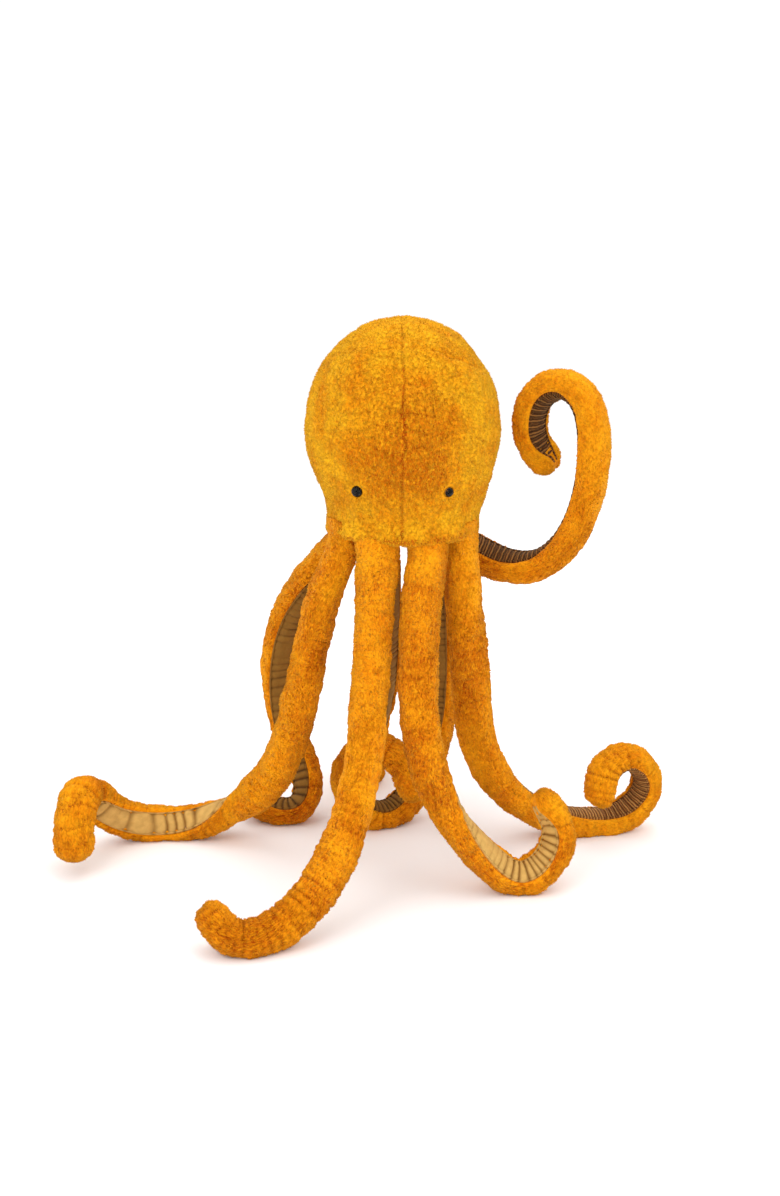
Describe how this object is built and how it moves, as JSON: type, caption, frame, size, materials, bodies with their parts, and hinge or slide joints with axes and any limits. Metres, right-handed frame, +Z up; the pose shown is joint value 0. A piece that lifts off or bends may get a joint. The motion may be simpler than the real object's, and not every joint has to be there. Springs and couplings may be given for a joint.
{
  "type": "plush octopus",
  "caption": "Large standing plush octopus with a stuffed egg-shaped head, small dome eyes and wired fur arms with velvet undersides.",
  "frame": {"origin": "on the floor under the middle of the outer box", "axes": "+Z up, -Y towards the viewer of the face, +X to the right of the face as seen from the front"},
  "size_m": [0.6759, 0.5311, 0.591],
  "materials": {
    "fur": "medium pile plush fur, crumpled, with a soft sheen",
    "velvet": "short velvet, gathered in small pleats",
    "filling": "loose polyester fibre",
    "wire": "bare soft wire",
    "clear_dome": "clear polished plastic",
    "black_plastic": "gloss",
    "white_plastic": "matt"
  },
  "bodies": {
    "head": {"head_front_left": "fur", "head_front_right": "fur", "head_back_left": "fur", "head_back_right": "fur", "head_base": "fur", "head_filling": "filling", "armature_hub": "wire", "eye_left": "clear_dome", "eye_right": "clear_dome", "eye_left_pupil": "black_plastic", "eye_right_pupil": "black_plastic", "eye_washers": "white_plastic"},
    "arm_1_upper": {"arm_1_upper_fur": "fur", "arm_1_upper_underside": "velvet", "arm_1_upper_core": "filling"},
    "arm_1_lower": {"arm_1_lower_fur": "fur", "arm_1_lower_underside": "velvet", "arm_1_lower_core": "filling"},
    "arm_2_upper": {"arm_2_upper_fur": "fur", "arm_2_upper_underside": "velvet", "arm_2_upper_core": "filling"},
    "arm_2_lower": {"arm_2_lower_fur": "fur", "arm_2_lower_underside": "velvet", "arm_2_lower_core": "filling"},
    "arm_3_upper": {"arm_3_upper_fur": "fur", "arm_3_upper_underside": "velvet", "arm_3_upper_core": "filling"},
    "arm_3_lower": {"arm_3_lower_fur": "fur", "arm_3_lower_underside": "velvet", "arm_3_lower_core": "filling"},
    "arm_4_upper": {"arm_4_upper_fur": "fur", "arm_4_upper_underside": "velvet", "arm_4_upper_core": "filling"},
    "arm_4_lower": {"arm_4_lower_fur": "fur", "arm_4_lower_underside": "velvet", "arm_4_lower_core": "filling"},
    "arm_5_upper": {"arm_5_upper_fur": "fur", "arm_5_upper_underside": "velvet", "arm_5_upper_core": "filling"},
    "arm_5_lower": {"arm_5_lower_fur": "fur", "arm_5_lower_underside": "velvet", "arm_5_lower_core": "filling"},
    "arm_6_upper": {"arm_6_upper_fur": "fur", "arm_6_upper_underside": "velvet", "arm_6_upper_core": "filling"},
    "arm_6_lower": {"arm_6_lower_fur": "fur", "arm_6_lower_underside": "velvet", "arm_6_lower_core": "filling"},
    "arm_7_upper": {"arm_7_upper_fur": "fur", "arm_7_upper_underside": "velvet", "arm_7_upper_core": "filling"},
    "arm_7_lower": {"arm_7_lower_fur": "fur", "arm_7_lower_underside": "velvet", "arm_7_lower_core": "filling"},
    "arm_8_upper": {"arm_8_upper_fur": "fur", "arm_8_upper_underside": "velvet", "arm_8_upper_core": "filling"},
    "arm_8_lower": {"arm_8_lower_fur": "fur", "arm_8_lower_underside": "velvet", "arm_8_lower_core": "filling"}
  },
  "joints": [
    {"name": "arm_1_root", "type": "hinge", "parent": "head", "child": "arm_1_upper", "pos_m": [-0.02867, -0.00679, 0.3465], "axis": [0.3816, -0.9238, 0.0302], "range_deg": [-45, 4]},
    {"name": "arm_1_elbow", "type": "hinge", "parent": "arm_1_upper", "child": "arm_1_lower", "pos_m": [-0.08639, -0.02183, 0.145], "axis": [0.7685, -0.5463, -0.3331], "range_deg": [-45, 3]},
    {"name": "arm_2_root", "type": "hinge", "parent": "head", "child": "arm_2_upper", "pos_m": [0.00921, -0.04467, 0.3465], "axis": [0.9174, -0.3789, 0.1212], "range_deg": [-45, 4]},
    {"name": "arm_2_elbow", "type": "hinge", "parent": "arm_2_upper", "child": "arm_2_lower", "pos_m": [-0.00394, -0.13178, 0.15522], "axis": [0.992, -0.0873, -0.0913], "range_deg": [-45, 30]},
    {"name": "arm_3_root", "type": "hinge", "parent": "head", "child": "arm_3_upper", "pos_m": [0.06279, -0.04467, 0.3465], "axis": [0.8756, 0.3617, -0.3203], "range_deg": [-45, 3]},
    {"name": "arm_3_elbow", "type": "hinge", "parent": "arm_3_upper", "child": "arm_3_lower", "pos_m": [0.05792, -0.10711, 0.15772], "axis": [0.9095, -0.3459, 0.2304], "range_deg": [-45, 25]},
    {"name": "arm_4_root", "type": "hinge", "parent": "head", "child": "arm_4_upper", "pos_m": [0.10067, -0.00679, 0.3465], "axis": [0.3802, 0.9204, -0.091], "range_deg": [-45, 8]},
    {"name": "arm_4_elbow", "type": "hinge", "parent": "arm_4_upper", "child": "arm_4_lower", "pos_m": [0.11744, -0.00406, 0.152], "axis": [0.9748, -0.1787, 0.1332], "range_deg": [-30, 40]},
    {"name": "arm_5_root", "type": "hinge", "parent": "head", "child": "arm_5_upper", "pos_m": [0.10067, 0.04679, 0.3465], "axis": [-0.1845, -0.9056, -0.382], "range_deg": [-45, 5]},
    {"name": "arm_5_elbow", "type": "hinge", "parent": "arm_5_upper", "child": "arm_5_lower", "pos_m": [0.20414, 0.02003, 0.33881], "axis": [-0.3793, -0.9227, -0.0688], "range_deg": [-45, 5]},
    {"name": "arm_6_root", "type": "hinge", "parent": "head", "child": "arm_6_upper", "pos_m": [-0.02867, 0.04679, 0.3465], "axis": [-0.3732, -0.9035, -0.2108], "range_deg": [-45, 4]},
    {"name": "arm_6_elbow", "type": "hinge", "parent": "arm_6_upper", "child": "arm_6_lower", "pos_m": [-0.10886, 0.11994, 0.1505], "axis": [-0.9767, -0.189, -0.1017], "range_deg": [-45, 3]},
    {"name": "arm_7_root", "type": "hinge", "parent": "head", "child": "arm_7_upper", "pos_m": [0.00921, 0.08467, 0.3465], "axis": [-0.8989, -0.3713, -0.2326], "range_deg": [-45, 5]},
    {"name": "arm_7_elbow", "type": "hinge", "parent": "arm_7_upper", "child": "arm_7_lower", "pos_m": [0.01, 0.18531, 0.15528], "axis": [-0.999, -0.0141, 0.0427], "range_deg": [-45, 35]},
    {"name": "arm_8_root", "type": "hinge", "parent": "head", "child": "arm_8_upper", "pos_m": [0.06279, 0.08467, 0.3465], "axis": [-0.924, 0.3817, -0.0221], "range_deg": [-15, 5]},
    {"name": "arm_8_elbow", "type": "hinge", "parent": "arm_8_upper", "child": "arm_8_lower", "pos_m": [0.08036, 0.118, 0.15244], "axis": [-0.9512, 0.3084, -0.0048], "range_deg": [-30, 20]}
  ]
}
